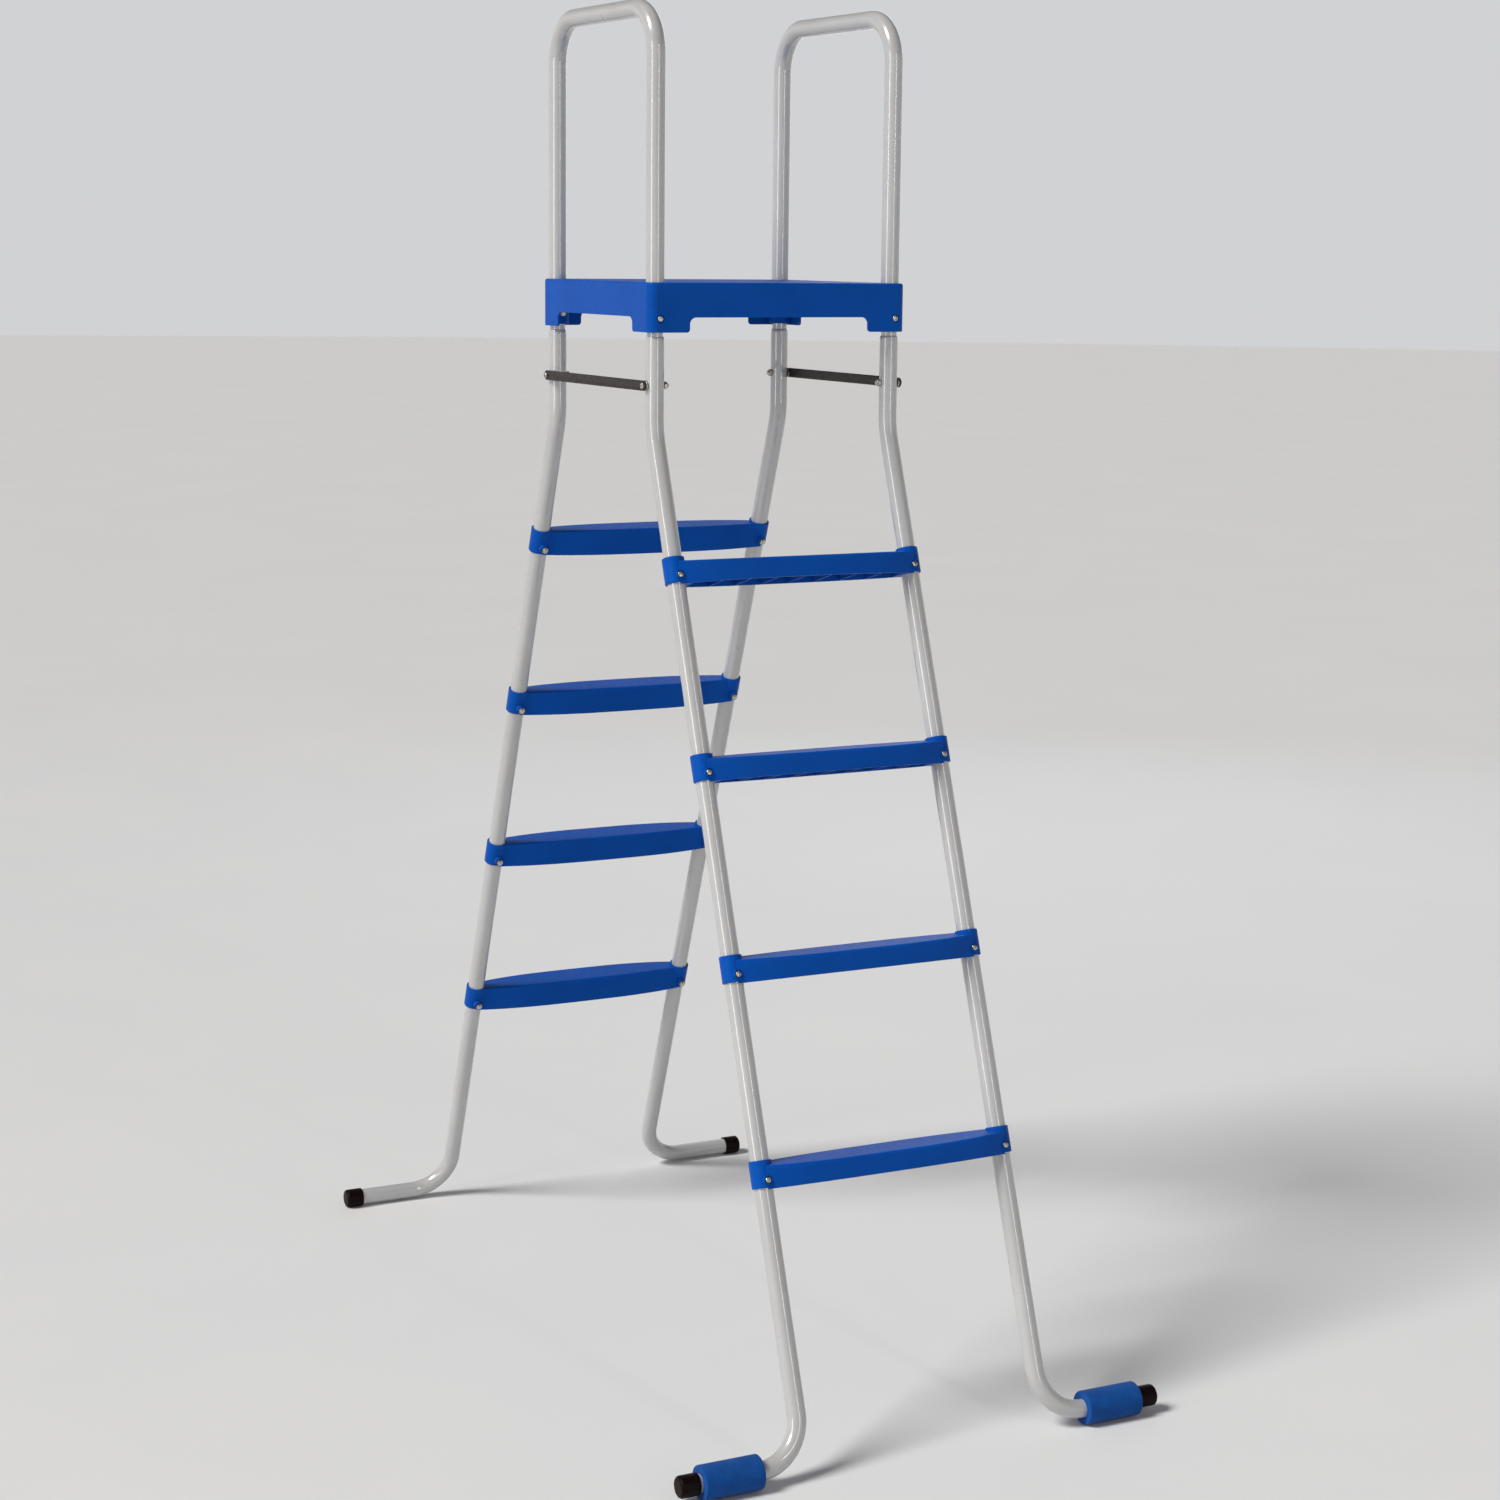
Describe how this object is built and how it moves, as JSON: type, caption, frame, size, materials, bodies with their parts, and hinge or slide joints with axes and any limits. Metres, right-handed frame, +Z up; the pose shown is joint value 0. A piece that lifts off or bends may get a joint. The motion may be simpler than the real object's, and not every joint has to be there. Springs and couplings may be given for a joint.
{
  "type": "pool ladder",
  "caption": "A-frame ladder for an above-ground pool: two stepped ladders joined by a small platform and inverted-U handrails, with feet turned outwards.",
  "frame": {"origin": "on the floor, at the centre of the footprint of the four feet", "axes": "+Z up, +X to the right across the ladder, +Y from the front ladder to the rear (pool-side) ladder"},
  "size_m": [0.625, 1.147, 1.646],
  "materials": {
    "white_tube": "glossy white powder coat on round steel tube",
    "blue_plastic": "satin injection-moulded blue plastic with a fine grain",
    "blue_foam": "matt closed-cell blue foam",
    "black_cap": "satin black rubber",
    "dark_bar": "dark grey-brown coated steel bar, slightly mottled",
    "bright_steel": "zinc-plated steel"
  },
  "bodies": {
    "root": {"end_cap_front_left": "black_cap", "end_cap_front_right": "black_cap", "end_cap_rear_left": "black_cap", "end_cap_rear_right": "black_cap", "foot_sleeve_front_left": "blue_foam", "foot_sleeve_front_right": "blue_foam", "front_step_1": "blue_plastic", "front_step_1_bolt_left": "bright_steel", "front_step_1_bolt_right": "bright_steel", "front_step_2": "blue_plastic", "front_step_2_bolt_left": "bright_steel", "front_step_2_bolt_right": "bright_steel", "front_step_3": "blue_plastic", "front_step_3_bolt_left": "bright_steel", "front_step_3_bolt_right": "bright_steel", "front_step_4": "blue_plastic", "front_step_4_bolt_left": "bright_steel", "front_step_4_bolt_right": "bright_steel", "handrail_left": "white_tube", "handrail_right": "white_tube", "leg_front_left": "white_tube", "leg_front_right": "white_tube", "leg_rear_left": "white_tube", "leg_rear_right": "white_tube", "link_bar_left": "dark_bar", "link_bar_right": "dark_bar", "link_bolt_front_left": "bright_steel", "link_bolt_front_right": "bright_steel", "link_bolt_rear_left": "bright_steel", "link_bolt_rear_right": "bright_steel", "link_nut_front_left": "bright_steel", "link_nut_front_right": "bright_steel", "link_nut_rear_left": "bright_steel", "link_nut_rear_right": "bright_steel", "link_spacer_front_left": "bright_steel", "link_spacer_front_right": "bright_steel", "link_spacer_rear_left": "bright_steel", "link_spacer_rear_right": "bright_steel", "platform": "blue_plastic", "platform_bolt_front_left": "bright_steel", "platform_bolt_front_right": "bright_steel", "platform_bolt_rear_left": "bright_steel", "platform_bolt_rear_right": "bright_steel", "platform_nut_front_left": "bright_steel", "platform_nut_front_right": "bright_steel", "platform_nut_rear_left": "bright_steel", "platform_nut_rear_right": "bright_steel", "rear_step_1": "blue_plastic", "rear_step_1_bolt_left": "bright_steel", "rear_step_1_bolt_right": "bright_steel", "rear_step_2": "blue_plastic", "rear_step_2_bolt_left": "bright_steel", "rear_step_2_bolt_right": "bright_steel", "rear_step_3": "blue_plastic", "rear_step_3_bolt_left": "bright_steel", "rear_step_3_bolt_right": "bright_steel", "rear_step_4": "blue_plastic", "rear_step_4_bolt_left": "bright_steel", "rear_step_4_bolt_right": "bright_steel"}
  },
  "joints": []
}
